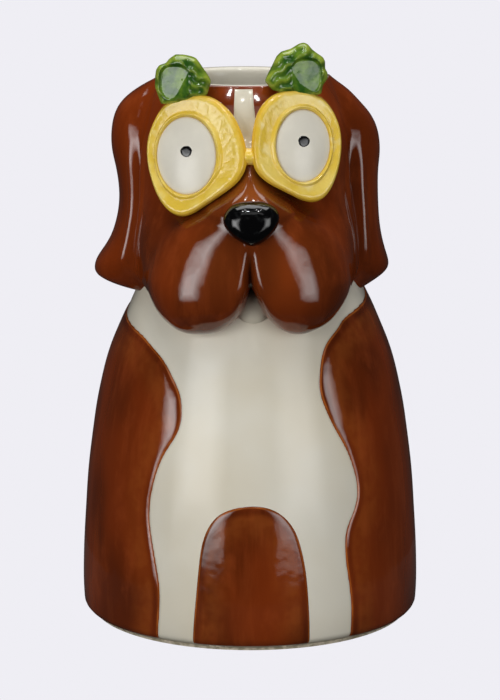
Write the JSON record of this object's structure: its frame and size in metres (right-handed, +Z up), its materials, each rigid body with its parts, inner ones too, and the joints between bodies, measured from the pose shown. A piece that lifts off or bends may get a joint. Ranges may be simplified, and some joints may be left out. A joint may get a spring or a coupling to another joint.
{
  "type": "planter",
  "caption": "Glazed earthenware planter shaped like a seated dog with pineapple-slice goggles, open at the top of its head.",
  "frame": {"origin": "middle of the foot, on the surface that the planter stands on", "axes": "+Z up; the dog looks along -Y; +X is to the right of somebody who faces the dog"},
  "size_m": [0.147, 0.147, 0.2522],
  "materials": {
    "brown_glaze": "gloss",
    "cream_glaze": "gloss",
    "yellow_glaze": "gloss",
    "green_glaze": "gloss",
    "white_glaze": "gloss",
    "black_glaze": "gloss",
    "bisque": "matte"
  },
  "bodies": {
    "root": {"foot_ring": "bisque", "torso_shell": "brown_glaze", "chest_bib": "cream_glaze", "belly_arch": "brown_glaze", "head_shell": "brown_glaze", "planting_rim": "cream_glaze", "forehead_blaze": "cream_glaze", "snout": "brown_glaze", "left_jowl": "brown_glaze", "right_jowl": "brown_glaze", "chin": "cream_glaze", "nose": "black_glaze", "left_ear": "brown_glaze", "right_ear": "brown_glaze", "left_goggle_rim": "yellow_glaze", "right_goggle_rim": "yellow_glaze", "goggle_bridge": "yellow_glaze", "left_eye": "white_glaze", "right_eye": "white_glaze", "left_pupil": "black_glaze", "right_pupil": "black_glaze", "left_leaf_crown": "green_glaze", "right_leaf_crown": "green_glaze"}
  },
  "joints": []
}
